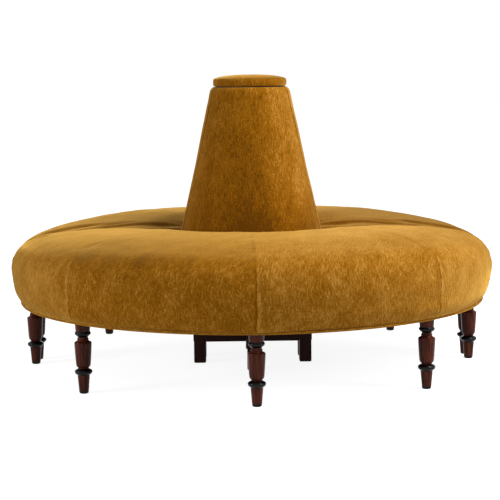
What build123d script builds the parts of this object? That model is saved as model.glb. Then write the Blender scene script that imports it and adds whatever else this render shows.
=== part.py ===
from build123d import *
import math
import os

# A round sofa in two halves that push together, with a cone-shaped back in the middle
# and a padded cap on top. Millimetres, +Z up, origin on the floor in the middle.
# The halves meet at the plane y = 0. The front half is modelled on the -Y side, and the
# rear half is the same half turned half a circle.

# overall sizes
seat_radius = 840.0
seat_height = 492.0
hem_height = 234.5
overall_height = 1004.0
quarter_turn = 90.0
half_turn = 180.0

# clearances
soft_gap = 0.5
fit_gap = 0.3
split_gap = 1.0
back_gap = 0.6

# seat cushion
seat_side_count = 72
core_side_count = 48
end_drop = 19.0
end_roll = 14.0
end_roll_angle = 45.0
seam_angle = 45.0
seam_width = 2.0
seam_draw = 3.0
foam_cover_depth = 40.0
foam_setback = 6.0
foam_outer_cut_width = 80.0
foam_outer_cut_height = 37.0
foam_inner_cut_width = 42.0
foam_inner_cut_height = 30.0
wadding_thickness = 8.0

# cushion outline up to the crown: radius as a share of the seat radius, height as a share
# of the way from the hem to the crown. It starts below the hem, where it is cut off once
# the ends are rolled
cushion_outline_shares = [
    (0.9456, -0.100),
    (0.987, 0.138),
    (1.000, 0.421),
    (0.987, 0.662),
    (0.956, 0.825),
    (0.918, 0.895),
    (0.820, 0.955),
    (0.680, 1.000),
]

# slope from the cone up to the crown, in the same shares, above the edge of the bore
hollow_outline_shares = [(0.315, 0.870), (0.370, 0.930), (0.470, 1.000)]
bore_edge_share = 0.790
hem_share = 0.9625
crown_share = 0.571

# seat frame
rail_setback = 14.5
rail_width = 42.0
rail_height = 71.0
rail_drop = 5.5
end_rail_width = 22.0
cross_rail_width = 22.0
deck_thickness = 15.0
dust_cover_thickness = 1.0
dust_cover_setback = 56.0

# hem welt
welt_setback = 1.58
welt_width = 6.5
welt_height = 8.0
welt_end_gap = 3.0

# turned legs
leg_setback = 32.0
end_leg_setback = 45.5
end_leg_offset = 42.0
leg_plate_thickness = 4.0
leg_ring_radius = 28.0
leg_plate_width = 72.0
leg_plate_depth = 44.0
leg_side_count = 16

# leg outline: radius as a share of the ring radius, height as a share of the leg's length
leg_turning_shares = [
    (0.45, 0.000),
    (0.70, 0.262),
    (1.00, 0.308),
    (0.57, 0.350),
    (0.78, 0.395),
    (0.93, 0.740),
    (0.57, 0.795),
    (0.92, 0.862),
    (0.92, 0.892),
    (0.84, 0.905),
    (0.88, 1.000),
]

# posts and stretchers under the back
post_width = 45.0
post_foot_width = 42.0
post_foot_top = 79.0
post_foot_chamfer = 4.0
side_post_setback = 65.0
front_post_setback = 54.0
stretcher_bottom = 76.0
stretcher_height = 70.0

# cone-shaped back
back_base_radius = 250.0
back_skirt_height = 430.0
back_neck_radius = 134.0
back_shoulder = 10.0
stave_count = 48
back_edge_roll = 8.0
back_split_gap = 4.0
back_cover_thickness = 6.0
back_foam_thickness = 21.5
back_skin_thickness = 3.0
back_board_thickness = 15.0
former_thickness = 15.0
former_height_shares = [0.0, 0.5, 1.0]
return_width = 34.0
lining_margin = 16.0
lining_thickness = 1.5

# cap on the back
cap_radius = 128.0
cap_height = 37.5
cap_gap = 4.0
cap_side_count = 48
cap_core_side_count = 36
cap_board_inset = 16.0
cap_board_thickness = 12.0
cap_cover_thickness = 3.0
dowel_radius = 6.0
dowel_length = 38.0
dowel_spread = 50.0
dowel_inset = 52.0

# cap outline as shares of its radius and height
cap_outline_shares = [
    (0.984, 0.000),
    (1.000, 0.387),
    (0.984, 0.733),
    (0.938, 0.893),
    (0.766, 1.000),
]
cap_core_shares = [(0.984, 0.000), (0.984, 0.733), (0.938, 0.893)]

# steel tongues on the front half and sockets on the rear half
tongue_width = 40.0
tongue_root = 40.0
tongue_reach = 46.0
tongue_thickness = 4.0
tongue_relief = 0.5
tongue_setback = 158.5
socket_wall = 3.0
socket_length = 46.0
socket_start = 4.0

# worked out from the sizes above
frame_split = split_gap + wadding_thickness
rail_bottom = hem_height - rail_drop
hem_radius = seat_radius * hem_share
rail_radius = hem_radius - rail_setback
deck_bottom = rail_bottom + rail_height
deck_top = deck_bottom + deck_thickness
rail_inner_radius = rail_radius - rail_width
end_rail_back = frame_split + end_rail_width
side_post_offset = end_rail_back + post_width / 2
seat_bore_radius = back_base_radius + back_gap
foam_top = seat_height - foam_cover_depth
welt_radius = hem_radius - welt_setback
leg_circle_radius = hem_radius - leg_setback
end_leg_reach = hem_radius - end_leg_setback
leg_top = rail_bottom - leg_plate_thickness
side_post_reach = back_base_radius - side_post_setback
front_post_reach = back_base_radius - front_post_setback
cap_bottom = overall_height - cap_height
back_top = cap_bottom - cap_gap
cap_board_bottom = back_top + fit_gap
cone_height = back_top - back_skirt_height
dust_cover_radius = rail_radius - dust_cover_setback
tongue_place = hem_radius - tongue_setback
dust_cover_bottom = rail_bottom - dust_cover_thickness
tongue_bottom = dust_cover_bottom - tongue_thickness
dowel_places = [(-dowel_spread, -dowel_inset), (dowel_spread, -dowel_inset)]
post_places = [
    (-side_post_reach, -side_post_offset),
    (side_post_reach, -side_post_offset),
    (0, -front_post_reach),
]
# place of each leg and the direction its plate faces
leg_places = [(0, -leg_circle_radius, 0)]
for side in (-1, 1):
    seam_turn = math.radians(side * seam_angle)
    seam_x = leg_circle_radius * math.sin(seam_turn)
    seam_y = -leg_circle_radius * math.cos(seam_turn)
    leg_places.append((seam_x, seam_y, side * seam_angle))
    leg_places.append((side * end_leg_reach, -end_leg_offset, side * quarter_turn))

os.makedirs("parts", exist_ok=True)


def write_piece(piece, name):
    piece.label = name
    export_step(piece, "parts/" + name + ".step")


def write_both_halves(piece, name):
    # the rear half's piece is the front one turned about the middle of the sofa
    with BuildPart() as rear_piece:
        add(piece, rotation=(0, 0, half_turn))
    write_piece(piece, "front_" + name)
    write_piece(rear_piece.part, "rear_" + name)


def frustum(wide, slim, rise, side_count):
    # many-sided frustum standing on its wider end
    lean = math.atan2((wide - slim) * math.cos(math.pi / side_count), rise)
    with BuildPart() as form:
        with BuildSketch():
            RegularPolygon(wide, side_count)
        extrude(amount=rise, taper=math.degrees(lean))
    return form.part


def many_sided_stack(outline, side_count):
    # frustums on top of each other, through points of radius and height
    with BuildPart() as stack:
        for (radius, height), (next_radius, next_height) in zip(outline, outline[1:]):
            rise = next_height - height
            if radius < next_radius:
                with Locations(Location((0, 0, next_height), (half_turn, 0, 0))):
                    add(frustum(next_radius, radius, rise, side_count))
            else:
                with Locations((0, 0, height)):
                    add(frustum(radius, next_radius, rise, side_count))
    return stack.part


def cushion_points(shares, inset, drop):
    # points of radius and height from shares of the seat's radius and height
    rise = seat_height - hem_height
    return [
        (seat_radius * radius_share - inset, hem_height + rise * height_share - drop)
        for radius_share, height_share in shares
    ]


def cushion_form(inset):
    # half ring with its outline set in by an inset, its crown sinking towards the split
    outline = cushion_points(cushion_outline_shares, inset, inset)
    foot = outline[0][1]
    bore = seat_bore_radius + inset
    bore_edge = hem_height + (seat_height - hem_height) * bore_edge_share - inset
    hollow = [(bore, foot), (bore, bore_edge)]
    hollow += cushion_points(hollow_outline_shares, -inset, inset)
    with BuildPart() as form:
        add(many_sided_stack(outline, seat_side_count))
        add(many_sided_stack(hollow, seat_side_count), mode=Mode.SUBTRACT)
        split(bisect_by=Plane.XZ.offset(split_gap), keep=Keep.TOP)
        seam_turn = math.radians(seam_angle)
        slope = end_drop / (seat_radius * crown_share * math.sin(seam_turn))
        for side in (-1, 1):
            downhill = (side * slope * math.cos(seam_turn), slope * math.sin(seam_turn), 1)
            crown_plane = Plane(origin=(0, 0, seat_height - inset), z_dir=downhill)
            split(bisect_by=crown_plane, keep=Keep.BOTTOM)
    return form.part


def seat_core(gap):
    # the foam's half ring, also used with a gap for the room inside the cover
    edge = rail_radius - foam_setback + gap
    bore = seat_bore_radius + wadding_thickness - gap
    top = foam_top + gap
    outline = [
        (edge, deck_top),
        (edge, top - foam_outer_cut_height),
        (edge - foam_outer_cut_width, top),
    ]
    hollow = [
        (bore, deck_top),
        (bore, top - foam_inner_cut_height),
        (bore + foam_inner_cut_width, top),
    ]
    with BuildPart() as core:
        add(many_sided_stack(outline, core_side_count))
        add(many_sided_stack(hollow, core_side_count), mode=Mode.SUBTRACT)
        split(bisect_by=Plane.XZ.offset(frame_split + soft_gap - gap), keep=Keep.TOP)
    return core.part


def half_disc(radius, bottom, height, flat):
    # half disc on the -Y side, with its flat face that far from the split plane
    with BuildPart() as disc:
        with BuildSketch(Plane.XY.offset(bottom)):
            Circle(radius)
        extrude(amount=height)
        split(bisect_by=Plane.XZ.offset(flat), keep=Keep.TOP)
    return disc.part


def block(bottom, height, places, width, depth):
    # upright blocks of one size at several places
    with BuildPart() as blocks:
        with BuildSketch(Plane.XY.offset(bottom)):
            with Locations(*places):
                Rectangle(width, depth)
        extrude(amount=height)
    return blocks.part


def rods(bottom, height, places, radius):
    # upright round rods of one size at several places
    with BuildPart() as round_rods:
        with BuildSketch(Plane.XY.offset(bottom)):
            with Locations(*places):
                Circle(radius)
        extrude(amount=height)
    return round_rods.part


# seat cover: four sewn velvet panels over wadding, hollow for the foam and the frame
with BuildPart() as seam_slots:
    with BuildSketch(Plane.XY.offset(hem_height)):
        for angle in (-seam_angle, 0, seam_angle):
            with Locations(Rotation(0, 0, angle)):
                Rectangle(seam_width, seat_radius, align=(Align.CENTER, Align.MAX))
    extrude(amount=seat_height)
    add(cushion_form(seam_draw), mode=Mode.SUBTRACT)
with BuildPart() as frame_room:
    room_radius = (rail_radius + fit_gap) / math.cos(math.pi / seat_side_count)
    room_outline = [(room_radius, hem_height), (room_radius, deck_top + fit_gap)]
    add(many_sided_stack(room_outline, seat_side_count))
    split(bisect_by=Plane.XZ.offset(frame_split - fit_gap), keep=Keep.TOP)
with BuildPart() as seat_cover:
    add(cushion_form(0))
    split(bisect_by=Plane.XZ.offset(split_gap + end_roll), keep=Keep.TOP)
    ends = seat_cover.faces().filter_by(Axis.Y).sort_by(Axis.Y)[-2:]
    extrude(ends, amount=end_roll, taper=end_roll_angle)
    split(bisect_by=Plane.XY.offset(hem_height), keep=Keep.TOP)
    add(seat_core(soft_gap), mode=Mode.SUBTRACT)
    add(frame_room.part, mode=Mode.SUBTRACT)
    add(seam_slots.part, mode=Mode.SUBTRACT)
write_both_halves(seat_cover.part, "seat_cover")

# seat foam: half ring on the deck
write_both_halves(seat_core(0), "seat_foam")

# plywood deck
with BuildPart() as seat_deck:
    add(half_disc(rail_radius, deck_bottom, deck_thickness, frame_split))
write_both_halves(seat_deck.part, "seat_deck")

# curved outer rail
with BuildPart() as outer_rail:
    add(half_disc(rail_radius, rail_bottom, rail_height, frame_split))
    add(half_disc(rail_inner_radius, 0, deck_bottom, 0), mode=Mode.SUBTRACT)
write_both_halves(outer_rail.part, "outer_rail")

# straight end rail along the split
with BuildPart() as end_rail:
    add(half_disc(rail_inner_radius, rail_bottom, rail_height, frame_split))
    split(bisect_by=Plane.XZ.offset(end_rail_back), keep=Keep.BOTTOM)
write_both_halves(end_rail.part, "end_rail")

# radial cross rails: the middle one starts at the front post, the others at the end rail
cross_rail_starts = {
    "left": (-seam_angle, 0),
    "mid": (0, front_post_reach + post_width / 2),
    "right": (seam_angle, 0),
}
for place, (angle, start) in cross_rail_starts.items():
    with BuildPart() as cross_rail:
        with BuildSketch(Plane.XY.offset(rail_bottom)):
            with Locations(Rotation(0, 0, angle)):
                with Locations((0, -start)):
                    Rectangle(cross_rail_width, rail_radius, align=(Align.CENTER, Align.MAX))
        extrude(amount=rail_height)
        add(half_disc(rail_inner_radius, 0, deck_bottom, end_rail_back), mode=Mode.INTERSECT)
    write_both_halves(cross_rail.part, "cross_rail_" + place)

# welt along the hem
welt_heights = (hem_height - welt_height, hem_height)
welt_outline = [(welt_radius, height) for height in welt_heights]
welt_inner_outline = [(welt_radius - welt_width, height) for height in welt_heights]
with BuildPart() as hem_welt:
    add(many_sided_stack(welt_outline, seat_side_count))
    add(many_sided_stack(welt_inner_outline, seat_side_count), mode=Mode.SUBTRACT)
    split(bisect_by=Plane.XZ.offset(welt_end_gap), keep=Keep.TOP)
write_both_halves(hem_welt.part, "hem_welt")

# dust cover under the frame, cut out for the posts
post_room = post_width + fit_gap * 2
with BuildPart() as dust_cover:
    add(half_disc(dust_cover_radius, dust_cover_bottom, dust_cover_thickness, frame_split))
    add(block(0, rail_bottom, post_places, post_room, post_room), mode=Mode.SUBTRACT)
write_both_halves(dust_cover.part, "dust_cover")

# turned legs
leg_outline = [
    (leg_ring_radius * radius_share, leg_top * height_share)
    for radius_share, height_share in leg_turning_shares
]
turned_leg = many_sided_stack(leg_outline, leg_side_count)
with BuildPart() as legs:
    with Locations(*[(x, y) for x, y, facing in leg_places]):
        add(turned_leg)
write_both_halves(legs.part, "legs")

# plates between the legs and the rail
with BuildPart() as leg_plates:
    with BuildSketch(Plane.XY.offset(leg_top)):
        for x, y, facing in leg_places:
            with Locations(Location((x, y, 0), (0, 0, facing))):
                Rectangle(leg_plate_width, leg_plate_depth)
    extrude(amount=rail_bottom - leg_top)
write_both_halves(leg_plates.part, "leg_plates")

# square posts with a slimmer foot
post_names = ["left", "right", "front"]
for post_name, post_place in zip(post_names, post_places):
    with BuildPart() as post:
        add(block(post_foot_top, deck_bottom - post_foot_top, [post_place], post_width, post_width))
        add(block(0, post_foot_top, [post_place], post_foot_width, post_foot_width))
        chamfer(post.faces().sort_by(Axis.Z)[0].edges(), post_foot_chamfer)
    write_both_halves(post.part, "post_" + post_name)

# stretchers: a long one between the side posts and a short one to the front post
long_stretcher_length = side_post_reach * 2 - post_width
with BuildPart() as stretcher_long:
    add(
        block(
            stretcher_bottom,
            stretcher_height,
            [(0, -side_post_offset)],
            long_stretcher_length,
            post_width,
        )
    )
write_both_halves(stretcher_long.part, "stretcher_long")

short_stretcher_length = front_post_reach - side_post_offset - post_width
with BuildPart() as stretcher_short:
    add(
        block(
            stretcher_bottom,
            stretcher_height,
            [(0, -(front_post_reach + side_post_offset) / 2)],
            post_width,
            short_stretcher_length,
        )
    )
write_both_halves(stretcher_short.part, "stretcher_short")


def back_form(inset, flat, top):
    # half cone of flat staves standing on the deck, set in by an inset, cut flat at the split
    outline = [
        (back_base_radius - inset, deck_top),
        (back_base_radius - inset, back_skirt_height),
        (back_neck_radius - inset, back_top),
    ]
    with BuildPart() as form:
        add(many_sided_stack(outline, stave_count))
        split(bisect_by=Plane.XZ.offset(flat), keep=Keep.TOP)
        split(bisect_by=Plane.XY.offset(top), keep=Keep.BOTTOM)
    return form.part


cover_inside = back_cover_thickness + soft_gap
skin_outside = cover_inside + back_foam_thickness + fit_gap
skin_inside = skin_outside + back_skin_thickness
frame_outside = skin_inside + fit_gap
board_face = back_split_gap + back_cover_thickness
former_face = board_face + back_board_thickness
frame_top = back_top - back_cover_thickness
dowel_bottom = cap_board_bottom - dowel_length
dowel_room = rods(
    dowel_bottom - fit_gap,
    dowel_length + fit_gap,
    dowel_places,
    dowel_radius + fit_gap,
)

# board on the flat side of the back
with BuildPart() as back_board:
    add(back_form(frame_outside, board_face, frame_top))
    split(bisect_by=Plane.XZ.offset(former_face), keep=Keep.BOTTOM)
write_both_halves(back_board.part, "back_board")

# half-disc formers that carry the skin, the top one drilled for the cap's dowels
with BuildPart() as back_formers:
    for height_share in former_height_shares:
        former_bottom = deck_top + (frame_top - former_thickness - deck_top) * height_share
        add(half_disc(back_base_radius, former_bottom, former_thickness, former_face))
    add(back_form(frame_outside, former_face, frame_top), mode=Mode.INTERSECT)
    add(dowel_room, mode=Mode.SUBTRACT)
write_both_halves(back_formers.part, "back_formers")

# bent plywood skin
with BuildPart() as back_skin:
    add(back_form(skin_outside, board_face, frame_top))
    add(back_form(skin_inside, 0, back_top), mode=Mode.SUBTRACT)
write_both_halves(back_skin.part, "back_skin")

# foam over the skin
with BuildPart() as back_foam:
    add(back_form(cover_inside, board_face, frame_top - soft_gap))
    add(back_form(skin_outside - fit_gap, 0, back_top), mode=Mode.SUBTRACT)
write_both_halves(back_foam.part, "back_foam")

# velvet cover of the back, with a border returned onto the flat side
shoulder_height = back_shoulder / 2
shoulder_run = (back_base_radius - back_neck_radius) * shoulder_height / cone_height
back_outline = [
    (back_base_radius, deck_top),
    (back_base_radius, back_skirt_height),
    (back_neck_radius + shoulder_run, back_top - shoulder_height),
    (back_neck_radius - back_shoulder, back_top),
]
with BuildPart() as back_cover:
    add(many_sided_stack(back_outline, stave_count))
    split(bisect_by=Plane.XZ.offset(back_split_gap), keep=Keep.TOP)
    flat_edges = back_cover.faces().filter_by(Axis.Y).sort_by(Axis.Y)[-1].edges()
    chamfer(flat_edges.sort_by(Axis.Z)[1:], back_edge_roll)
    add(back_form(back_cover_thickness, board_face, frame_top), mode=Mode.SUBTRACT)
    add(back_form(return_width, 0, frame_top - return_width), mode=Mode.SUBTRACT)
    add(dowel_room, mode=Mode.SUBTRACT)
write_both_halves(back_cover.part, "back_cover")

# lining sewn over the flat side
with BuildPart() as back_lining:
    add(back_form(lining_margin, back_split_gap - lining_thickness, back_top - lining_margin))
    split(bisect_by=Plane.XZ.offset(back_split_gap), keep=Keep.BOTTOM)
write_both_halves(back_lining.part, "back_lining")


def cap_form(shares, inset, side_count):
    # many-sided cap or core, set in by an inset
    rise = cap_height - inset * 2
    outline = [
        (cap_radius * radius_share - inset, cap_bottom + inset + rise * height_share)
        for radius_share, height_share in shares
    ]
    return many_sided_stack(outline, side_count)


# cap: board, foam, velvet cover and the dowels that locate it
cap_centre = [(0, 0)]
cap_board_radius = cap_radius - cap_board_inset
cap_board = rods(cap_board_bottom, cap_board_thickness, cap_centre, cap_board_radius)
write_piece(cap_board, "cap_board")

board_room = rods(cap_board_bottom, cap_board_thickness, cap_centre, cap_board_radius + fit_gap)
with BuildPart() as cap_foam:
    add(cap_form(cap_core_shares, cap_cover_thickness + soft_gap, cap_core_side_count))
    add(board_room, mode=Mode.SUBTRACT)
write_piece(cap_foam.part, "cap_foam")

with BuildPart() as cap_cover:
    add(cap_form(cap_outline_shares, 0, cap_side_count))
    add(cap_form(cap_core_shares, cap_cover_thickness, cap_core_side_count), mode=Mode.SUBTRACT)
    add(board_room, mode=Mode.SUBTRACT)
write_piece(cap_cover.part, "cap_cover")

cap_dowels = rods(dowel_bottom, dowel_length, dowel_places, dowel_radius)
write_piece(cap_dowels, "cap_dowels")

# tongues under the front half, with their sliding ends relieved to run free
root_places = [
    (-tongue_place, -socket_start - tongue_root / 2),
    (tongue_place, -socket_start - tongue_root / 2),
]
reach_places = [
    (-tongue_place, (tongue_reach - socket_start) / 2),
    (tongue_place, (tongue_reach - socket_start) / 2),
]
reach_length = tongue_reach + socket_start
with BuildPart() as front_tongues:
    add(block(tongue_bottom, tongue_thickness, root_places, tongue_width, tongue_root))
    add(
        block(
            tongue_bottom,
            tongue_thickness - tongue_relief,
            reach_places,
            tongue_width,
            reach_length,
        )
    )
write_piece(front_tongues.part, "front_tongues")

# sockets under the rear half, closed at the top by its dust cover
socket_places = [
    (-tongue_place, socket_start + socket_length / 2),
    (tongue_place, socket_start + socket_length / 2),
]
socket_room = tongue_bottom - tongue_relief
socket_width = tongue_width + tongue_relief * 2
with BuildPart() as rear_sockets:
    add(
        block(
            socket_room - socket_wall,
            dust_cover_bottom - socket_room + socket_wall,
            socket_places,
            socket_width + socket_wall * 2,
            socket_length,
        )
    )
    add(
        block(
            socket_room,
            dust_cover_bottom - socket_room,
            socket_places,
            socket_width,
            socket_length,
        ),
        mode=Mode.SUBTRACT,
    )
write_piece(rear_sockets.part, "rear_sockets")
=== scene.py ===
import math

import bpy
from mathutils import Matrix, Vector, noise


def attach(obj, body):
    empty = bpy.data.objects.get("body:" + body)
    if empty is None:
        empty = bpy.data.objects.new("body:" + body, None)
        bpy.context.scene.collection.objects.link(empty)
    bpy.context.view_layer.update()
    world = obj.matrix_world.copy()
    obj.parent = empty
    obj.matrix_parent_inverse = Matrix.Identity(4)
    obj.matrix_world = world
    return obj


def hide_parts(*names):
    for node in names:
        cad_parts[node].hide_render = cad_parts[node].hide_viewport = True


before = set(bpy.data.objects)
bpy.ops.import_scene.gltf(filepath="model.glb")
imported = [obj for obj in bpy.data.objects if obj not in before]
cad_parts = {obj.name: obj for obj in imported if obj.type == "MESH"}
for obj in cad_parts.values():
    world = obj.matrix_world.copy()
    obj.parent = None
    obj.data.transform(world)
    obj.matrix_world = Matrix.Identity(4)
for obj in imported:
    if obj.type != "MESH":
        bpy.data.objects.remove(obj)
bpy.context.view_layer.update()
print("frame loaded")

mm = 0.001
scene = bpy.context.scene


def mix(a, b, share):
    return a + (b - a) * share


def smoothStep(value):
    value = min(max(value, 0.0), 1.0)
    return value * value * (3.0 - 2.0 * value)


def smoothBetween(value, start, end):
    # 0 up to the start and 1 from the end, which may be the lower of the two
    return smoothStep((value - start) / (end - start))


def polar(place):
    # distance from the sofa's axis, and the turn in radians from the front to the right
    return math.hypot(place.x, place.y), math.atan2(place.x, -place.y)


def linearColour(hexColour):
    channels = []
    for start in (1, 3, 5):
        value = int(hexColour[start:start + 2], 16) / 255
        channels.append(value / 12.92 if value <= 0.04045 else ((value + 0.055) / 1.055) ** 2.4)
    return (*channels, 1.0)


def meshPiece(name, points, faces, materials, smoothAngle=None):
    mesh = bpy.data.meshes.new(name)
    mesh.from_pydata([Vector(point) * mm for point in points], [], faces)
    mesh.update()
    piece = bpy.data.objects.new(name, mesh)
    scene.collection.objects.link(piece)
    for material in materials:
        mesh.materials.append(material)
    selectOnly(piece)
    bpy.ops.object.mode_set(mode="EDIT")
    bpy.ops.mesh.select_all(action="SELECT")
    bpy.ops.mesh.normals_make_consistent(inside=False)
    bpy.ops.object.mode_set(mode="OBJECT")
    if smoothAngle is None:
        bpy.ops.object.shade_smooth()
    else:
        bpy.ops.object.shade_smooth_by_angle(angle=math.radians(smoothAngle))
    return piece


def layGrain(piece, weave, napAndPaintedLight):
    # the weave's own coordinates in metres at each face's corners, the pile's lie and painted
    # light
    mesh = piece.data
    layer = mesh.uv_layers.new(name="Grain")
    for polygon in mesh.polygons:
        for loop, index in zip(polygon.loop_indices, polygon.vertices):
            across, along = weave(polygon, index, mesh.vertices[index].co / mm)
            layer.data[loop].uv = (across * mm, along * mm)
    lieAndPaintedLight = mesh.attributes.new("napAndPaintedLight", "FLOAT", "POINT")
    lieAndPaintedLight.data.foreach_set("value", [napAndPaintedLight(vertex.co / mm) for vertex in mesh.vertices])


def selectOnly(piece):
    bpy.ops.object.select_all(action="DESELECT")
    piece.select_set(True)
    bpy.context.view_layer.objects.active = piece


def movedCopy(piece, name, move):
    # a copy with its own mesh, which is moved or turned while its object stays at the origin
    twin = piece.copy()
    twin.data = piece.data.copy()
    twin.name = twin.data.name = name
    scene.collection.objects.link(twin)
    twin.data.transform(move)
    twin.data.update()
    return twin


def bothHalves(front, rearName):
    # the front half's piece and a copy turned half a circle, each riding on its own half
    rear = movedCopy(front, rearName, Matrix.Rotation(math.pi, 4, "Z"))
    for piece, side in ((front, "front"), (rear, "rear")):
        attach(piece, side + "_half")
        yield piece, side


def gridFaces(start, rows, columns):
    # the faces of a grid, whose rows have one point more than there are columns
    for row in range(rows):
        for column in range(columns):
            corner = start + row * (columns + 1) + column
            after = corner + columns + 1
            yield (corner, corner + 1, after + 1, after)


def sampleLine(points, spacing):
    # evenly spaced points on a smooth curve through the given ones
    dense = []
    count = len(points)
    for index in range(count - 1):
        before = points[max(index - 1, 0)]
        start = points[index]
        end = points[index + 1]
        after = points[min(index + 2, count - 1)]
        for step in range(24):
            dense.append(catmull(before, start, end, after, step / 24))
    dense.append(points[-1])
    lengths = [0.0]
    for first, second in zip(dense, dense[1:]):
        lengths.append(lengths[-1] + math.dist(first, second))
    total = lengths[-1]
    steps = max(round(total / spacing), 2)
    result = []
    at = 0
    for step in range(steps + 1):
        target = total * step / steps
        while at < len(lengths) - 2 and lengths[at + 1] < target:
            at += 1
        span = lengths[at + 1] - lengths[at]
        share = 0.0 if span == 0 else (target - lengths[at]) / span
        result.append(tuple(mix(a, b, share) for a, b in zip(dense[at], dense[at + 1])))
    return result


def catmull(before, start, end, after, share):
    # centripetal spacing keeps the curve from overshooting at close points
    knots = [0.0]
    chain = (before, start, end, after)
    for first, second in zip(chain, chain[1:]):
        knots.append(knots[-1] + max(math.dist(first, second), 1e-4) ** 0.5)
    moment = mix(knots[1], knots[2], share)

    def between(a, b, low, high):
        part = (moment - low) / (high - low)
        return tuple(mix(x, y, part) for x, y in zip(a, b))

    a1 = between(before, start, knots[0], knots[1])
    a2 = between(start, end, knots[1], knots[2])
    a3 = between(end, after, knots[2], knots[3])
    b1 = between(a1, a2, knots[0], knots[2])
    b2 = between(a2, a3, knots[1], knots[3])
    return between(b1, b2, knots[1], knots[2])


def addNode(owner, kind, settings=None, inputs=None, stops=None):
    # a node with its settings, its links and values, and a ramp's places and colours
    node = owner.node_tree.nodes.new(kind)
    for key, value in (settings or {}).items():
        setattr(node, key, value)
    for key, value in (inputs or {}).items():
        socket = node.inputs[key]
        if isinstance(value, bpy.types.NodeSocket):
            owner.node_tree.links.new(value, socket)
        else:
            socket.default_value = value
    if stops:
        elements = node.color_ramp.elements
        while len(elements) < len(stops):
            elements.new(0.5)
        for element, (position, colour) in zip(elements, stops):
            element.position = position
            element.color = linearColour(colour)
    return node


def newMaterial(name):
    material = bpy.data.materials.new(name)
    material.use_nodes = True
    material.node_tree.nodes.clear()
    return material


def finishMaterial(material, colour, height, strength, relief, surface):
    # what every piece's material ends with: its relief in mm, its surface and the output
    bump = addNode(material, "ShaderNodeBump", inputs={
        "Height": height, "Strength": strength, "Distance": relief * mm,
    })
    shader = addNode(material, "ShaderNodeBsdfPrincipled", inputs={
        "Base Color": colour, "Normal": bump.outputs["Normal"], **surface,
    })
    addNode(material, "ShaderNodeOutputMaterial", inputs={"Surface": shader.outputs["BSDF"]})
    return material


pile = {
    # streaks of nap: width and length in mm, detail, and how far they lift or lower the nap
    "layers": {
        "patches": (60.0, 100.0, 3.0, 0.32),
        "crushed": (12.0, 26.0, 4.0, 0.19),
        # real pile is about 0.3 mm across: these two are drawn fifteen times as coarse, to show
        "lines": (4.6, 22.0, 2.0, 0.48),
        "tufts": (4.6, 6.0, 1.0, 0.33),
    },
    # the brushing wanders by up to this many mm, over waves of this width in mm
    "wander": 35.0,
    "wanderWidth": 111.0,
    # nap with its painted light and shade, at which the deep, middle and light colours lie
    "stops": (0.22, 0.5, 0.82),
    "tuftRelief": 0.7,
    "relief": 1.4,
    "sheenColour": "#FFC964",
}


def makeVelvet(name, deep, middle, light):
    material = newMaterial(name)
    grain = addNode(material, "ShaderNodeUVMap", {"uv_map": "Grain"}).outputs["UV"]
    drift = addNode(material, "ShaderNodeTexNoise", {"noise_dimensions": "2D"}, {
        "Vector": grain, "Scale": 1.0 / (pile["wanderWidth"] * mm), "Detail": 2.0,
    })
    wander = pile["wander"] * mm
    brushed = addNode(material, "ShaderNodeVectorMath", {"operation": "MULTIPLY_ADD"}, {
        0: drift.outputs["Color"], 1: (wander, wander, 0.0), 2: grain,
    }).outputs["Vector"]
    # the nap attribute: the pile's lie, with painted light and painted shade laid on it
    napAndPaintedLight = addNode(material, "ShaderNodeAttribute", {"attribute_name": "napAndPaintedLight"}).outputs["Fac"]
    streaks = {}
    for layer, (width, length, detail, weight) in pile["layers"].items():
        spread = addNode(material, "ShaderNodeMapping", inputs={
            "Vector": grain if layer == "tufts" else brushed,
            "Scale": (1.0 / (width * mm), 1.0 / (length * mm), 1.0),
        })
        streaks[layer] = addNode(material, "ShaderNodeTexNoise", {"noise_dimensions": "2D"}, {
            "Vector": spread.outputs["Vector"], "Scale": 1.0, "Detail": detail, "Roughness": 0.6,
        }).outputs["Fac"]
        centred = addNode(material, "ShaderNodeMath", {"operation": "SUBTRACT"}, {
            0: streaks[layer], 1: 0.5,
        })
        napAndPaintedLight = addNode(material, "ShaderNodeMath", {"operation": "MULTIPLY_ADD"}, {
            0: centred.outputs["Value"], 1: weight, 2: napAndPaintedLight,
        }).outputs["Value"]
    stops = list(zip(pile["stops"], (deep, middle, light)))
    ramp = addNode(material, "ShaderNodeValToRGB", inputs={"Fac": napAndPaintedLight}, stops=stops)
    relief = addNode(material, "ShaderNodeMath", {"operation": "MULTIPLY_ADD"}, {
        0: streaks["tufts"], 1: pile["tuftRelief"], 2: streaks["lines"],
    })
    surface = {
        "Roughness": 0.9, "Specular IOR Level": 0.03, "Sheen Weight": 0.87,
        "Sheen Roughness": 0.42, "Sheen Tint": linearColour(pile["sheenColour"]),
    }
    return finishMaterial(
        material, ramp.outputs["Color"], relief.outputs["Value"], 0.6, pile["relief"], surface,
    )


fibres = {
    # real vessels are about 0.5 mm wide and 10 mm long: drawn ten times as coarse, to show
    "width": 6.25,
    "length": 111.0,
    "relief": 0.4,
}


def makeWood(name, dark, light, roughness, gloss, alongX=False):
    # fibres run up the piece, or along X in boards and rails
    material = newMaterial(name)
    place = addNode(material, "ShaderNodeTexCoord")
    across = 1.0 / (fibres["width"] * mm)
    along = 1.0 / (fibres["length"] * mm)
    spread = addNode(material, "ShaderNodeMapping", inputs={
        "Vector": place.outputs["Object"],
        "Scale": (along, across, across) if alongX else (across, across, along),
    })
    fibre = addNode(material, "ShaderNodeTexNoise", inputs={
        "Vector": spread.outputs["Vector"], "Scale": 1.0, "Detail": 5.0, "Roughness": 0.6,
    })
    ramp = addNode(material, "ShaderNodeValToRGB", inputs={"Fac": fibre.outputs["Fac"]},
                   stops=[(0.35, dark), (0.68, light)])
    return finishMaterial(
        material, ramp.outputs["Color"], fibre.outputs["Fac"], 0.12, fibres["relief"],
        {"Roughness": roughness, "Specular IOR Level": gloss},
    )


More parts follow.
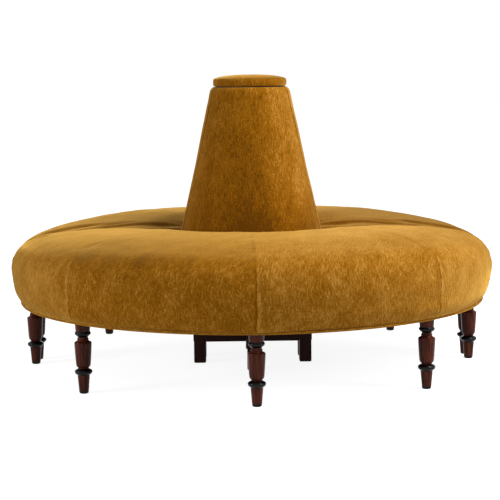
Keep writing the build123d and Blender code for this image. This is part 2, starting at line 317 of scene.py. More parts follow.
def makeMottled(name, dark, light, roughness, mottle, relief):
    # mottle and relief are in mm
    material = newMaterial(name)
    place = addNode(material, "ShaderNodeTexCoord")
    speckle = addNode(material, "ShaderNodeTexNoise", inputs={
        "Vector": place.outputs["Object"], "Scale": 1.0 / (mottle * mm), "Detail": 3.0,
    })
    ramp = addNode(material, "ShaderNodeValToRGB", inputs={"Fac": speckle.outputs["Fac"]},
                   stops=[(0.35, dark), (0.65, light)])
    return finishMaterial(
        material, ramp.outputs["Color"], speckle.outputs["Fac"], 0.15, relief,
        {"Roughness": roughness},
    )


# cotton velvet, woven and brushed: pale gold where the nap faces the light, brown where it lies
# the other way, with a soft sheen towards every edge; its nap attribute also carries painted
# light and painted shade
velvet = makeVelvet("BrushedGoldVelvet", "#5C3500", "#8C5705", "#C08D3F")
# the same velvet cut on the bias and drawn tight over a cord: a thin, even line; its deep and
# middle tones are painted lighter, as painted light low under the seat's bulge
weltVelvetPaintedLighter = makeVelvet("GoldVelvetPipingPaintedLighter", "#6A4008", "#936013", "#BD862F")
# beech, turned, stained and lacquered: red-brown with small sharp lights on the rings
turnedWood = makeWood("LacqueredTurnedBeech", "#2A0E07", "#602B1A", 0.22, 0.08)
# beech, ebonised and lacquered: near black, seen by its lights alone
ebonised = makeWood("EbonisedTurnedBeech", "#060505", "#110E0D", 0.18, 0.13)
# beech, planed and stained almost black: dull brown, with a soft light on its edges
darkWood = makeWood("DarkStainedBeech", "#1A0804", "#36160C", 0.4, 0.07)
# beech, sawn and left bare: pale straw with long fibres and no shine
frameWood = makeWood("SawnBeech", "#A98050", "#C9A571", 0.6, 0.3, alongX=True)
# birch plywood, sanded: paler and more even than the rails
plywood = makeWood("SandedBirchPlywood", "#B08C5E", "#D2B184", 0.6, 0.3, alongX=True)
# lining cloth, rolled from fibres that lie at random: matt black with a faint mottle
liningCloth = makeMottled("RolledLiningCloth", "#151515", "#232323", 0.9, mottle=1.4, relief=0.3)
# steel plate, sprayed black: a satin skin with the paint's slight orange peel
paintedSteel = makeMottled("SprayedBlackSteel", "#101011", "#1B1B1D", 0.45, mottle=3.3, relief=0.3)

nodeFinishes = {
    "seat_deck": plywood,
    "outer_rail": frameWood,
    "end_rail": frameWood,
    "cross_rail": frameWood,
    "leg_plates": paintedSteel,
    "post": darkWood,
    "stretcher": darkWood,
    "back_board": plywood,
    "back_formers": plywood,
    "back_skin": plywood,
    "cap_board": plywood,
    "cap_dowels": frameWood,
    "tongues": paintedSteel,
    "sockets": paintedSteel,
}
for nodeName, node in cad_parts.items():
    for part, finish in nodeFinishes.items():
        if part in nodeName:
            node.data.materials.clear()
            node.data.materials.append(finish)
print("materials made")


# the front half's seat cushion, in mm from the floor and from the sofa's middle
seat = {
    # radius and height from the hem up the side, over the top and down into the bore
    "profile": [
        (802.5, 232.4), (806.5, 233.2), (817, 246), (829, 270), (837, 312), (840, 343),
        (837.5, 375), (831, 404), (823, 422), (808, 441), (790, 454), (768, 462), (737, 468.5),
        (659, 482), (611, 488), (540, 491), (470, 492), (392, 490), (345, 482), (300, 471),
        (268, 463.5), (253, 458.5), (247.6, 450), (249.4, 437), (251, 424), (251.2, 380),
        (251.2, 316),
    ],
    # share of that line, and the radius and height of the point behind it on the inner face
    "inner": [
        (0.00, 796.5, 232), (0.12, 796.5, 260), (0.22, 796.5, 290), (0.32, 796.5, 316),
        (0.45, 690, 316), (0.56, 570, 316), (0.68, 460, 316), (0.78, 340, 316),
        (0.86, 275, 316), (1.00, 252, 316),
    ],
    "radius": 840.0,
    "spacing": 9.0,
    "columnSpacing": 15.0,
    # the top falls off towards the ends, between these heights and past this angle
    "endDrop": 19.0,
    "dropHeights": (343.0, 446.0),
    "dropAngle": 45.0,
    # in the bore, past this share of the outline, that fades out between these heights
    "boreShare": 0.86,
    "boreHeights": (316.0, 446.0),
    # the ends roll over into the split
    "roll": 24.0,
    "rollShare": 0.45,
    "splitGap": 0.3,
    "seams": (-45.0, 0.0, 45.0),
    "panelAngle": 45.0,
    # distances from each seam at which the mesh has its columns
    "seamOffsets": (0.0, 1.4, 3.0, 5.5, 9.5, 16.0, 26.0, 40.0),
    "seamDepth": 2.2,
    "seamWidth": 2.4,
    "pull": 2.6,
    "pullWidth": 26.0,
    "pucker": 1.0,
    "puckerLength": 9.0,
    "puckerWidth": 14.0,
    # between these heights the seams grow shallower, and inside this radius they stay so
    "shoulderHeights": (452.0, 402.0),
    "shoulderRadius": 600.0,
    "seamOnTop": 0.12,
    # the side turns into the top between these heights
    "topHeights": (400.0, 460.0),
    # where the cover is stapled at the hem and in the bore, it stays even
    "hemHeights": (228.0, 288.0),
    "boreRadii": (252.0, 302.0),
    # width and height of the stuffing's lumps
    "lumps": ((95.0, 1.6), (38.0, 0.5)),
    # rows at the bore and columns at the ends that are sewn down
    "heldRows": 12,
    "heldColumns": 2,
    "easeRows": 14,
    "clothMass": 0.3,
    "clothFrames": 20,
    "clothQuality": 5,
    "clothStiffness": 80.0,
    "clothBending": 4.0,
    "clothPressure": 4.0,
    "clothReach": 5.0,
    "clothStart": 1.8,
    "clothStartOnTop": 4.2,
    # nap of each panel, from the left end to the right one
    "panelNaps": (0.58, 0.50, 0.55, 0.61),
    # how much painted shade darkens the left end of the top, and between which places across
    "topPaintedShade": 0.26,
    "topPaintedShadeAcross": (180.0, -720.0),
    # painted shade on the rear seat, deepest to its left in the cone's shadow: least and most
    "rearPaintedShade": (0.10, 0.30),
    # side of each seam with a painted highlight; its strength and the groove's painted shade
    "litSides": (-1, 1, 1),
    "seamPaintedHighlight": 0.17,
    "seamPaintedShade": 0.15,
    # over the top the weave runs slantwise, from this length up the outline
    "slantFrom": 190.0,
    "slant": 0.45,
    # keeps one panel's weave from going on in the next
    "panelShift": 2000.0,
}
seatOutline = sampleLine(seat["profile"], seat["spacing"])


def seatColumns(radius):
    # angles of the mesh columns: close together at seams and ends, at fixed distances
    offsets = seat["seamOffsets"]
    angles = []
    knots = [-90.0] + list(seat["seams"]) + [90.0]
    for start, end in zip(knots, knots[1:]):
        span = math.radians(end - start)
        reach = min(offsets[-1] / radius, span * 0.3)
        near = [offset / offsets[-1] * reach for offset in offsets]
        fill = math.ceil((span * seat["radius"] - 2 * offsets[-1]) / seat["columnSpacing"])
        low = math.radians(start)
        high = math.radians(end)
        angles += [low + offset for offset in near]
        for step in range(1, fill):
            angles.append(mix(low + reach, high - reach, step / fill))
        angles += [high - offset for offset in reversed(near)]
        angles.pop()
    angles.append(math.radians(90.0))
    return angles


def droppedHeight(height, angle, share):
    # the crown sinks towards the two ends
    topShare = smoothBetween(height, *seat["dropHeights"])
    if share > seat["boreShare"]:
        topShare *= smoothBetween(height, *seat["boreHeights"])
    pastAngle = (abs(math.degrees(angle)) - seat["dropAngle"]) / (90.0 - seat["dropAngle"])
    return height - seat["endDrop"] * min(max(pastAngle, 0.0), 1.0) * topShare


def seatPoint(radius, height, angle):
    # a point on the half circle, kept off the split by the gap
    y = -radius * math.cos(angle) - seat["splitGap"] * abs(math.sin(angle))
    return (radius * math.sin(angle), y, height)


def seatMesh():
    # rows up the outline and columns round it, closed by an inner face and the two ends
    rows = len(seatOutline)
    columns = len(seatColumns(seat["radius"]))
    anchors = seat["inner"]
    anchorRows = [round(share * (rows - 1)) for share, radius, height in anchors]
    points = []
    for row, (radius, height) in enumerate(seatOutline):
        share = row / (rows - 1)
        at = max(index for index in range(len(anchorRows)) if anchorRows[index] <= row)
        after = min(at + 1, len(anchors) - 1)
        span = max(anchorRows[after] - anchorRows[at], 1)
        part = (row - anchorRows[at]) / span
        innerRadius = mix(anchors[at][1], anchors[after][1], part)
        innerHeight = mix(anchors[at][2], anchors[after][2], part)
        for angle in seatColumns(radius):
            outRadius = radius
            outHeight = droppedHeight(height, angle, share)
            fromEnd = outRadius * math.cos(angle)
            depth = math.dist((outRadius, outHeight), (innerRadius, innerHeight))
            roll = min(seat["roll"], depth * seat["rollShare"])
            if fromEnd < roll:
                inset = roll - math.sqrt(max(roll ** 2 - (roll - fromEnd) ** 2, 0.0))
                outRadius = mix(outRadius, innerRadius, inset / depth)
                outHeight = mix(outHeight, innerHeight, inset / depth)
            points.append(seatPoint(outRadius, outHeight, angle))
    faces = list(gridFaces(0, rows - 1, columns - 1))
    innerStart = len(points)
    for index, (share, radius, height) in enumerate(anchors):
        for angle in seatColumns(seatOutline[anchorRows[index]][0]):
            points.append(seatPoint(radius, height, angle))
    faces += gridFaces(innerStart, len(anchors) - 1, columns - 1)
    last = (rows - 1) * columns
    lastInner = innerStart + (len(anchors) - 1) * columns
    for column in range(columns - 1):
        faces.append((column, innerStart + column, innerStart + column + 1, column + 1))
        faces.append((
            last + column, last + column + 1, lastInner + column + 1, lastInner + column,
        ))
    for edge in (0, columns - 1):
        for index in range(len(anchors) - 1):
            outer = [row * columns + edge
                     for row in range(anchorRows[index], anchorRows[index + 1] + 1)]
            inner = [innerStart + (index + 1) * columns + edge,
                     innerStart + index * columns + edge]
            faces.append(tuple(outer + inner))
    return points, faces, rows * columns


def onSeatSide(height, radius, least):
    # 1 on the side, and the least over the top
    below = smoothBetween(height, *seat["shoulderHeights"])
    return mix(least, 1.0, below * (radius > seat["shoulderRadius"]))


def sewSeat(piece, outerCount):
    # seams drawn in, the panels full between them, small puckers beside the stitching
    mesh = piece.data
    normals = [vertex.normal.copy() for vertex in mesh.vertices]
    for index in range(outerCount):
        vertex = mesh.vertices[index]
        place = vertex.co / mm
        radius, turn = polar(place)
        sunk = 0.0
        onSide = onSeatSide(place.z, radius, seat["seamOnTop"])
        for seam in seat["seams"]:
            distance = radius * abs(turn - math.radians(seam))
            sunk += seat["seamDepth"] * onSide * math.exp(-(distance / seat["seamWidth"]) ** 2)
            sunk += seat["pull"] * onSide * math.exp(-(distance / seat["pullWidth"]) ** 1.4)
            length = seat["puckerLength"]
            pucker = noise.noise(Vector((place.z / length, radius / length, seam)))
            near = math.exp(-(distance / seat["puckerWidth"]) ** 2)
            sunk += seat["pucker"] * pucker * near
        ease = smoothBetween(place.z, *seat["hemHeights"])
        ease *= smoothBetween(radius, *seat["boreRadii"])
        lumps = sum(noise.noise(place / width) * height for width, height in seat["lumps"])
        vertex.co -= normals[index] * (sunk - lumps) * ease * mm
        vertex.co.y = min(vertex.co.y, -seat["splitGap"] * mm)
    mesh.update()


def stuffSeat(piece, outerCount, columns):
    # the cover as cloth over its stuffing, held at hem, bore and ends
    mesh = piece.data
    before = [vertex.co.copy() for vertex in mesh.vertices]
    lastRow = outerCount // columns - seat["heldRows"]
    edge = seat["heldColumns"]
    held = set(range(outerCount, len(mesh.vertices)))
    for index in range(outerCount):
        row, column = divmod(index, columns)
        if row < 1 or row > lastRow or column < edge or column >= columns - edge:
            held.add(index)
    group = piece.vertex_groups.new(name="Stitched")
    group.add(sorted(held), 1.0, "REPLACE")
    # the stuffing starts a little small, because it swells
    normals = [vertex.normal.copy() for vertex in mesh.vertices]
    for index, vertex in enumerate(mesh.vertices):
        if index not in held:
            row = index // columns
            ease = smoothStep(min(row, lastRow + 1 - row, seat["easeRows"]) / seat["easeRows"])
            onTop = smoothBetween(before[index].z / mm, *seat["topHeights"])
            start = mix(seat["clothStart"], seat["clothStartOnTop"], onTop)
            vertex.co -= normals[index] * start * ease * mm
    mesh.update()
    cloth = piece.modifiers.new("Stuffing", "CLOTH")
    settings = cloth.settings
    settings.quality = seat["clothQuality"]
    settings.mass = seat["clothMass"]
    settings.tension_stiffness = seat["clothStiffness"]
    settings.compression_stiffness = seat["clothStiffness"]
    settings.shear_stiffness = seat["clothStiffness"] / 3
    settings.bending_stiffness = seat["clothBending"]
    settings.use_pressure = True
    settings.uniform_pressure_force = seat["clothPressure"]
    settings.effector_weights.gravity = 0.0
    settings.vertex_group_mass = group.name
    cloth.collision_settings.use_collision = False
    cloth.collision_settings.use_self_collision = False
    cloth.point_cache.frame_start = 1
    cloth.point_cache.frame_end = seat["clothFrames"]
    for moment in range(1, seat["clothFrames"] + 1):
        scene.frame_set(moment)
    depsgraph = bpy.context.evaluated_depsgraph_get()
    swollen = [vertex.co.copy() for vertex in piece.evaluated_get(depsgraph).data.vertices]
    piece.modifiers.remove(cloth)
    piece.vertex_groups.remove(group)
    scene.frame_set(1)
    most = seat["clothReach"] * mm
    moves = []
    for vertex, start, end in zip(mesh.vertices, before, swollen):
        move = end - start
        moves.append(move.length / mm)
        if move.length > most:
            move *= most / move.length
        vertex.co = start + move
    mesh.update()
    print("the stuffing pushed the seat cover out by up to", round(max(moves), 1), "mm")


def seatGrain(polygon, index, place):
    # each panel's weave runs along its own middle line, up the side and in over the top
    panelAngle = seat["panelAngle"]
    onPanel = (math.degrees(polar(polygon.center)[1]) + 90.0) // panelAngle
    panel = min(max(int(onPanel), 0), len(seat["panelNaps"]) - 1)
    radius, turn = polar(place)
    middle = math.radians((panel + 0.5) * panelAngle - 90.0)
    across = radius * (turn - middle) + panel * seat["panelShift"]
    along = place.z if index >= outerCount else outlineLengths[index // columnCount]
    return across - max(along - seat["slantFrom"], 0.0) * seat["slant"], along


# the nap of each panel, with painted shade and painted highlights laid over it
def seatNapAndPaintedLight(place):
    radius, turn = polar(place)
    panel = (math.degrees(turn) + 90.0) / seat["panelAngle"]
    napAndPaintedLight = 0.5
    for index, value in enumerate(seat["panelNaps"]):
        # the nap changes within a twelfth of a panel beside each seam
        share = smoothStep((panel - index) * 12.0) * smoothStep((index + 1 - panel) * 12.0)
        napAndPaintedLight += (value - 0.5) * share
    onTop = smoothBetween(place.z, *seat["topHeights"])
    # painted shade over the left end of the top
    napAndPaintedLight -= seat["topPaintedShade"] * onTop * smoothBetween(place.x, *seat["topPaintedShadeAcross"])
    onSide = onSeatSide(place.z, radius, 0.2)
    for seam, lit in zip(seat["seams"], seat["litSides"]):
        # painted along the stitching: a painted highlight 8 mm out, painted shade in the groove
        distance = radius * (turn - math.radians(seam)) * lit
        napAndPaintedLight += seat["seamPaintedHighlight"] * onSide * math.exp(-((distance - 8.0) / 7.0) ** 2)
        napAndPaintedLight -= seat["seamPaintedShade"] * onSide * math.exp(-((distance + 2.0) / 3.0) ** 2)
    return napAndPaintedLight


seatPoints, seatFaces, outerCount = seatMesh()
columnCount = len(seatColumns(seat["radius"]))
outlineLengths = [0.0]
for first, second in zip(seatOutline, seatOutline[1:]):
    outlineLengths.append(outlineLengths[-1] + math.dist(first, second))
frontSeat = meshPiece("FrontSeatCushion", seatPoints, seatFaces, [velvet])
stuffSeat(frontSeat, outerCount, columnCount)
sewSeat(frontSeat, outerCount)
layGrain(frontSeat, seatGrain, seatNapAndPaintedLight)
for piece, side in bothHalves(frontSeat, "RearSeatCushion"):
    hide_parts(side + "_seat_cover", side + "_seat_foam")
# painted shade on the rear seat, deepening towards its left, where the cone's shadow falls
leastPaintedShade, mostPaintedShade = seat["rearPaintedShade"]
rearMesh = bpy.data.objects["RearSeatCushion"].data
for vertex, lieAndPaintedLight in zip(rearMesh.vertices, rearMesh.attributes["napAndPaintedLight"].data):
    lieAndPaintedLight.value -= mix(leastPaintedShade, mostPaintedShade, smoothStep(0.5 - vertex.co.x))
print("seat cushions made")


# the piping sewn round the hem
welt = {
    "radius": 805.6,
    "height": 229.9,
    "halfWidth": 4.0,
    "halfHeight": 3.7,
    "sides": 10,
    "spacing": 9.0,
    "end": 4.0,
    # how far the line wanders from even, and its waves per radian
    "wander": 0.5,
    "waves": 14.0,
}


def spinWelt(name):
    # the cord's end, spun round the hem from one end of the half to the other
    reach = math.pi / 2 - welt["end"] / welt["radius"]
    start = Vector((math.sin(-reach), -math.cos(-reach), 0.0)) * welt["radius"] * mm
    start.z = welt["height"] * mm
    bpy.ops.mesh.primitive_circle_add(
        vertices=welt["sides"], radius=welt["halfWidth"] * mm, fill_type="NGON",
        location=start, rotation=(math.pi / 2, 0.0, -reach - math.pi / 2),
    )
    piece = bpy.context.object
    piece.name = piece.data.name = name
    bpy.ops.object.transform_apply(location=True, rotation=True, scale=True)
    bpy.ops.object.mode_set(mode="EDIT")
    bpy.ops.mesh.select_all(action="SELECT")
    flatter = welt["halfHeight"] / welt["halfWidth"]
    bpy.ops.transform.resize(value=(1.0, 1.0, flatter), center_override=start)
    bpy.ops.mesh.spin(
        steps=int(math.pi * welt["radius"] / welt["spacing"]), angle=2 * reach,
        center=(0.0, 0.0, 0.0), axis=(0.0, 0.0, -1.0),
    )
    bpy.ops.mesh.select_all(action="SELECT")
    bpy.ops.mesh.remove_doubles(threshold=0.01 * mm)
    bpy.ops.mesh.normals_make_consistent(inside=False)
    bpy.ops.object.mode_set(mode="OBJECT")
    bpy.ops.object.shade_smooth_by_angle(angle=math.radians(60))
    # a hand-sewn line is never quite even
    for vertex in piece.data.vertices:
        radius, turn = polar(vertex.co)
        wander = noise.noise(Vector((turn * welt["waves"], 0.0, 3.0))) * welt["wander"] * mm
        vertex.co.x *= (radius + wander) / radius
        vertex.co.y *= (radius + wander) / radius
    piece.data.materials.append(weltVelvetPaintedLighter)
    return piece


def weltGrain(polygon, index, place):
    # across the cord, and along it
    radius, turn = polar(place)
    return place.z + radius, welt["radius"] * turn


frontWelt = spinWelt("FrontHemWelt")
layGrain(frontWelt, weltGrain, lambda place: 0.5)
for piece, side in bothHalves(frontWelt, "RearHemWelt"):
    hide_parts(side + "_hem_welt")
print("hem welts made")


# one half of the cone-shaped back
back = {
    # radius and height up the cone, over the shoulder onto the top
    "profile": [
        (249.6, 316), (249.8, 380), (249.6, 430), (244.5, 464), (224.8, 549), (205.2, 633),
        (182, 738), (160.6, 843), (144.6, 916), (139.6, 942), (136.6, 952.5), (132.6, 959),
        (127.5, 961.8), (120, 962.3),
    ],
    "spacing": 9.0,
    "arcSteps": 168,
    "rollSteps": 6,
    "flatSteps": 24,
    "flat": 4.0,
    "roll": 8.0,
    "rollGap": 0.4,
    "rollRise": 14.0,
    "flatThickness": 5.7,
    "coneThickness": 27.3,
    "innerTop": 956.8,
    # the straight part of the cone: radius lost per mm of height, and its foot
    "taper": 0.2178,
    "footRadius": 250.0,
    "footHeight": 430.0,
    # the padded strip beside the split, and the groove that is sewn beside it
    "stripWidth": 50.0,
    "bead": 1.6,
    "beadEase": 12.0,
    "groove": 2.0,
    "grooveWidth": 4.5,
    "dressedTop": 955.0,
    # soft upright folds, every 7 degrees or so, and lumps
    "fold": 1.0,
    "foldAngle": 7.0,
    "foldLength": 160.0,
    "lump": 1.0,
    "lumpWidth": 70.0,
    # painted light and shade: a painted highlight on the strip, painted light to the right, and
    # painted shade in the groove, low down and in the middle, the last two between these heights
    "stripPaintedHighlight": 0.12,
    "groovePaintedShade": 0.24,
    "rightPaintedLight": 0.08,
    "lowPaintedShade": 0.20,
    "lowHeights": (660.0, 440.0),
    "middlePaintedShade": 0.12,
    "middleHeights": (900.0, 740.0),
    "liningAndPaintedShadeFrom": 960.6,
    "dowelHoles": [(-50, -52), (50, -52)],
    "dowelHoleRadius": 6.6,
    "dowelHoleHeights": (940.0, 980.0),
}


def halfLoop(radius, flat, corner):
    # outline of a half disc, seen from above, with a soft roll at each corner
    loop = []
    edge = back["rollGap"] if corner > 2 else flat
    reach = math.sqrt((radius - corner) ** 2 - (edge + corner) ** 2)
    turn = math.atan2(reach, edge + corner)
    for step in range(back["arcSteps"] + 1):
        angle = mix(-turn, turn, step / back["arcSteps"])
        loop.append((radius * math.sin(angle), -radius * math.cos(angle)))
    roll = []
    for step in range(1, back["rollSteps"] + 1):
        angle = mix(turn, math.pi, step / back["rollSteps"])
        roll.append((reach + corner * math.sin(angle), -edge - corner - corner * math.cos(angle)))
    loop += roll
    for step in range(1, back["flatSteps"]):
        x = mix(reach, -reach, step / back["flatSteps"])
        inward = smoothStep((reach - abs(x)) / back["rollRise"])
        loop.append((x, -mix(edge, flat, inward)))
    loop += [(-x, y) for x, y in reversed(roll)]
    return loop


def coneRadius(height):
    line = back["profile"]
    for (radius, low), (nextRadius, high) in zip(line, line[1:]):
        if low <= height <= high:
            return mix(radius, nextRadius, (height - low) / (high - low))
    return line[-1][0] if height > line[-1][1] else line[0][0]


def backMesh():
    outline = sampleLine(back["profile"], back["spacing"])
    points = []
    faces = []
    count = len(halfLoop(200.0, back["flat"], back["roll"]))

    def ring(first, second):
        for index in range(count):
            after = (index + 1) % count
            faces.append((first + index, first + after, second + after, second + index))

    for radius, height in outline:
        points += [(x, y, height) for x, y in halfLoop(radius, back["flat"], back["roll"])]
    rows = len(outline)
    for row in range(rows - 1):
        ring(row * count, (row + 1) * count)
    faces.append(tuple(range((rows - 1) * count, rows * count)))
    innerFlat = back["flat"] + back["flatThickness"]
    innerRows = [316.0, 430.0, 640.0, 840.0, back["innerTop"]]
    innerStart = len(points)
    for height in innerRows:
        radius = coneRadius(height) - back["coneThickness"]
        points += [(x, y, height) for x, y in halfLoop(radius, innerFlat, 1.0)]
    for row in range(len(innerRows) - 1):
        ring(innerStart + row * count, innerStart + (row + 1) * count)
    faces.append(tuple(range(len(points) - count, len(points))))
    ring(0, innerStart)
    return points, faces, rows * count


def dressBack(piece, outerShare):
    # a padded strip along each split edge, sewn to the middle, and soft vertical folds
    mesh = piece.data
    normals = [vertex.normal.copy() for vertex in mesh.vertices]
    for index in range(outerShare):
        vertex = mesh.vertices[index]
        place = vertex.co / mm
        if place.z > back["dressedTop"] or -place.y < back["flat"] + 0.5:
            continue
        fromEdge = -place.y - back["rollGap"]
        toGroove = back["stripWidth"] - fromEdge
        beadEase = back["beadEase"]
        relief = back["bead"] * smoothStep(fromEdge / beadEase) * smoothStep(toGroove / beadEase)
        relief -= back["groove"] * math.exp(-(toGroove / back["grooveWidth"]) ** 2)
        turn = math.degrees(polar(place)[1]) / back["foldAngle"]
        relief += back["fold"] * noise.noise(Vector((turn, place.z / back["foldLength"], 2.0)))
        relief += back["lump"] * noise.noise(place / back["lumpWidth"])
        # the foot stays even, where the seat presses on it
        ease = smoothStep((place.z - back["footHeight"] - 10.0) / 30.0)
        vertex.co += normals[index] * relief * ease * mm
        vertex.co.y = min(vertex.co.y, -back["rollGap"] * mm)
    mesh.update()


def cutHole(piece, cutter):
    # takes the cutter's shape out of the piece, and the cutter out of the scene
    selectOnly(piece)
    hole = piece.modifiers.new("Hole", "BOOLEAN")
    hole.object = cutter
    hole.operation = "DIFFERENCE"
    hole.solver = "EXACT"
    bpy.ops.object.modifier_apply(modifier=hole.name)
    bpy.data.objects.remove(cutter, do_unlink=True)


def backGrain(polygon, index, place):
    # the cone laid flat, its weave upright in the middle of the front
    if abs(polygon.normal.y) > 0.99 or abs(polygon.normal.z) > 0.9:
        return place.x, place.z - place.y
    slope = math.hypot(1.0, back["taper"])
    apex = back["footHeight"] + back["footRadius"] / back["taper"]
    slant = (apex - place.z) * slope
    turn = polar(place)[1] * back["taper"] / slope
    return slant * math.sin(turn), -slant * math.cos(turn)


def backNapAndPaintedLight(place):
    # painted light and painted shade over an even nap
    toGroove = back["stripWidth"] + place.y + back["rollGap"]
    napAndPaintedLight = 0.46 + back["stripPaintedHighlight"] * smoothStep(toGroove / 10.0)
    napAndPaintedLight -= back["groovePaintedShade"] * math.exp(-(toGroove / 4.0) ** 2)
    napAndPaintedLight += back["rightPaintedLight"] * smoothBetween(place.x, 20.0, 110.0)
    low = smoothBetween(place.z, *back["lowHeights"])
    napAndPaintedLight -= back["lowPaintedShade"] * low * mix(0.25, 1.0, smoothBetween(place.x, -140.0, -30.0))
    middle = math.exp(-((place.x + 10.0) / 70.0) ** 2)
    return napAndPaintedLight - back["middlePaintedShade"] * middle * smoothBetween(place.z, *back["middleHeights"])


backPoints, backFaces, backOuter = backMesh()
frontBack = meshPiece("FrontBackCover", backPoints, backFaces, [velvet], 50)
dressBack(frontBack, backOuter)
layGrain(frontBack, backGrain, backNapAndPaintedLight)
# under the cap the cone is closed with black lining cloth, also painted shade for the gap there
frontBack.data.materials.append(liningCloth)
for polygon in frontBack.data.polygons:
    if polygon.center.z > back["liningAndPaintedShadeFrom"] * mm:
        polygon.material_index = 1
holeLow, holeHigh = back["dowelHoleHeights"]
for holeX, holeY in back["dowelHoles"]:
    bpy.ops.mesh.primitive_cylinder_add(
        vertices=24, radius=back["dowelHoleRadius"] * mm, depth=(holeHigh - holeLow) * mm,
        location=(holeX * mm, holeY * mm, (holeLow + holeHigh) / 2 * mm),
    )
    cutHole(frontBack, bpy.context.object)
for piece, side in bothHalves(frontBack, "RearBackCover"):
    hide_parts(side + "_back_cover", side + "_back_foam")
print("back covers made")


# thin black cloth tacked under each half's frame
dustCover = {
    "radius": 738.0,
    "flatSide": -9.0,
    "top": 228.9,
    "thickness": 0.8,
    "holes": [(-185, -53.5), (185, -53.5), (0, -196)],
    "holeWidth": 45.6,
    "halfAngle": 88.9,
    "ripple": 0.35,
    "rippleWidth": 120.0,
    "sag": 0.3,
    "flat": (1.476, 0.729),
    "area": 0.836,
}
# the same cloth over the flat side of each half of the back
lining = {
    "bottom": 316.0,
    "top": 946.5,
    "margin": 16.0,
    "face": -3.8,
    "thickness": 1.0,
    "ripple": 0.3,
    "slack": 0.3,
    "flat": (0.468, 0.6305),
    "area": 0.240,
}


def clothPanel(name, point, columns, rows, thickness):
    # a grid of points made into cloth of that thickness
    points = [point(column / columns, row / rows)
              for row in range(rows + 1) for column in range(columns + 1)]
    panel = meshPiece(name, points, list(gridFaces(0, rows, columns)), [liningCloth])
    body = panel.modifiers.new("Thickness", "SOLIDIFY")
    body.thickness = thickness * mm
    body.offset = 0.0
    bpy.ops.object.modifier_apply(modifier=body.name)
    bpy.ops.object.shade_smooth_by_angle(angle=math.radians(40))
    return panel


def coverPoint(across, along):
    # from the straight side by the split out to the rim
    turn = math.radians(mix(-dustCover["halfAngle"], dustCover["halfAngle"], across))
    x = dustCover["radius"] * math.sin(turn)
    y = mix(dustCover["flatSide"], -dustCover["radius"] * math.cos(turn), along)
    waves = Vector((x / dustCover["rippleWidth"], y / dustCover["rippleWidth"], 5.0))
    ripple = noise.noise(waves) * dustCover["ripple"]
    middle = dustCover["top"] - dustCover["thickness"] / 2
    return (x, y, middle + ripple - dustCover["sag"])


def liningPoint(across, along):
    # up the cone, narrower as it narrows
    height = mix(lining["bottom"], lining["top"], along)
    half = coneRadius(height) - lining["margin"]
    x = mix(-half, half, across)
    ripple = noise.noise(Vector((x / 70.0, height / 110.0, 8.0))) * lining["ripple"]
    middle = lining["face"] + lining["thickness"] / 2
    return (x, middle + lining["slack"] + ripple, height)


frontDustCover = clothPanel("FrontDustCover", coverPoint, 96, 24, dustCover["thickness"])
for x, y in dustCover["holes"]:
    bpy.ops.mesh.primitive_cube_add(size=1.0, location=(x * mm, y * mm, dustCover["top"] * mm))
    cutter = bpy.context.object
    cutter.scale = (dustCover["holeWidth"] * mm, dustCover["holeWidth"] * mm, 20.0 * mm)
    cutHole(frontDustCover, cutter)
for piece, side in bothHalves(frontDustCover, "RearDustCover"):
    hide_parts(side + "_dust_cover")
frontLining = clothPanel("FrontBackLining", liningPoint, 24, 30, lining["thickness"])
for piece, side in bothHalves(frontLining, "RearBackLining"):
    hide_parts(side + "_back_lining")
print("dust covers and linings made")


# the padded cap that lies over both halves of the back
cap = {
    # radius and height, from the middle below round the edge to the middle above
    "profile": [
        (0, 975.4), (112.8, 975.4), (112.8, 964.4), (116, 963.3), (123.2, 963.5),
        (126.0, 965.6), (127.3, 970), (127.8, 977), (127.3, 984), (125.6, 989.4),
        (122.6, 992.0), (119.8, 991.9), (116.6, 993.2), (108, 996), (92, 999.2), (70, 1001.7),
        (45, 1003.3), (0, 1004),
    ],
    "segments": 144,
    "edgeRadius": 128.0,
    # under this height it is black lining cloth, also painted shade in the gap over the cone,
    # and over the other it has soft lumps
    "liningAndPaintedShadeTop": 965.4,
    "softFrom": 976.0,
    "lump": 1.0,
    # the sewn edge: where it is, how far it wavers, and how much painted shade lies in its groove
    "seamHeight": 992.0,
    "seamWaver": 1.6,
    "seamPaintedShade": 0.22,
}


def capMesh():
    line = cap["profile"]
    edge = [line[0]]
    edge += [(mix(0, line[1][0], step / 4), line[1][1]) for step in range(1, 4)]
    edge += [line[1], line[2]]
    edge += sampleLine(line[3:-1], 3.0)
    edge += [(28, 1004), (14, 1004), line[-1]]
    segments = cap["segments"]
    points = [(0, 0, edge[0][1])]
    for radius, height in edge[1:-1]:
        for step in range(segments):
            turn = 2 * math.pi * step / segments
            x = radius * math.sin(turn)
            y = -radius * math.cos(turn)
            rise = 0.0
            push = 0.0
            if height > cap["softFrom"]:
                wave = noise.noise(Vector((math.cos(turn) * 6.0, math.sin(turn) * 6.0, 1.0)))
                near = math.exp(-((height - cap["seamHeight"]) / 3.0) ** 2)
                rise = wave * cap["seamWaver"] * near * smoothBetween(radius, 105, 117)
                push = noise.noise(Vector((x / 18.0, y / 18.0, height / 14.0))) * cap["lump"]
            share = (radius + push) / radius
            points.append((x * share, y * share, height + rise))
    points.append((0, 0, edge[-1][1]))
    faces = []
    rings = len(edge) - 2
    for step in range(segments):
        after = (step + 1) % segments
        faces.append((0, 1 + after, 1 + step))
        for ringIndex in range(rings - 1):
            here = 1 + ringIndex * segments
            there = here + segments
            faces.append((here + step, here + after, there + after, there + step))
        lastRing = 1 + (rings - 1) * segments
        faces.append((lastRing + step, lastRing + after, len(points) - 1))
    return points, faces


def capGrain(polygon, index, place):
    # flat over the top, and round the edge
    if abs(polygon.normal.z) > 0.7:
        return place.x, place.y
    return cap["edgeRadius"] * polar(place)[1], place.z


